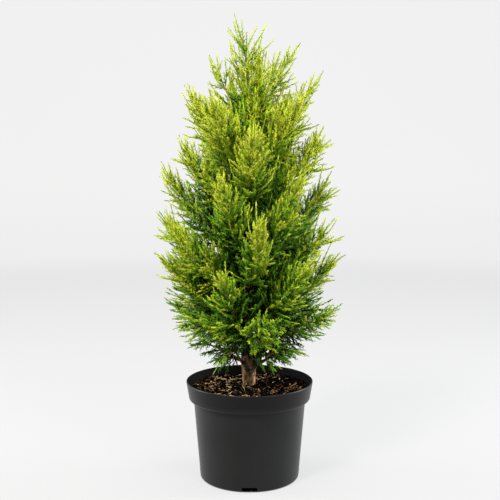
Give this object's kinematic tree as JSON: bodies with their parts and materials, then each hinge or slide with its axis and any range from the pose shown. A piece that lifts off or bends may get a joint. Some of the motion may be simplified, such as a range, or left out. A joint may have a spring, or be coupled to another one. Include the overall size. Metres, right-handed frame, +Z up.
{
  "type": "potted leyland cypress",
  "caption": "Young evergreen conifer with feathery yellow-green plumes on a low-forked trunk, standing in a round black nursery pot filled with soil.",
  "frame": {"origin": "middle of the pot's flat underside, where it stands on the floor", "axes": "+Z up along the trunk, +X to the right as seen from the front, +Y to the back"},
  "size_m": [0.2853, 0.2848, 0.687],
  "materials": {
    "pot": "matt charcoal moulded plastic, finely grained",
    "soil": "dark moist peat compost with straw fibres and bark bits",
    "bark": "rough grey-brown young bark, finely creased",
    "foliage": "soft scale leaves, yellow-green at the tips and deep green inside"
  },
  "bodies": {
    "root": {"broad_plume_1": "foliage", "broad_plume_2": "foliage", "broad_plume_3": "foliage", "broad_plume_4": "foliage", "broad_plume_5": "foliage", "broad_plume_6": "foliage", "broad_plume_7": "foliage", "crest_plume": "foliage", "flank_plume": "foliage", "high_plume_1": "foliage", "high_plume_2": "foliage", "high_plume_3": "foliage", "high_plume_4": "foliage", "leader_plume": "foliage", "low_limb_1": "bark", "low_limb_2": "bark", "low_limb_3": "bark", "low_limb_4": "bark", "low_limb_5": "bark", "low_limb_6": "bark", "low_plume_1": "foliage", "low_plume_2": "foliage", "low_plume_3": "foliage", "low_plume_4": "foliage", "low_plume_5": "foliage", "low_plume_6": "foliage", "middle_plume_1": "foliage", "middle_plume_2": "foliage", "middle_plume_3": "foliage", "middle_plume_4": "foliage", "middle_plume_5": "foliage", "middle_plume_6": "foliage", "outer_plume": "foliage", "pot": "pot", "shoulder_plume_1": "foliage", "shoulder_plume_2": "foliage", "shoulder_plume_3": "foliage", "shoulder_plume_4": "foliage", "shoulder_plume_5": "foliage", "skirt_limb_1": "bark", "skirt_limb_2": "bark", "skirt_limb_3": "bark", "skirt_limb_4": "bark", "skirt_limb_5": "bark", "skirt_plume_1": "foliage", "skirt_plume_2": "foliage", "skirt_plume_3": "foliage", "skirt_plume_4": "foliage", "skirt_plume_5": "foliage", "soil": "soil", "top_plume_1": "foliage", "top_plume_2": "foliage", "top_plume_3": "foliage", "trunk": "bark", "upper_plume_1": "foliage", "upper_plume_2": "foliage", "upper_plume_3": "foliage", "upper_plume_4": "foliage", "upper_plume_5": "foliage", "upper_plume_6": "foliage"}
  },
  "joints": []
}
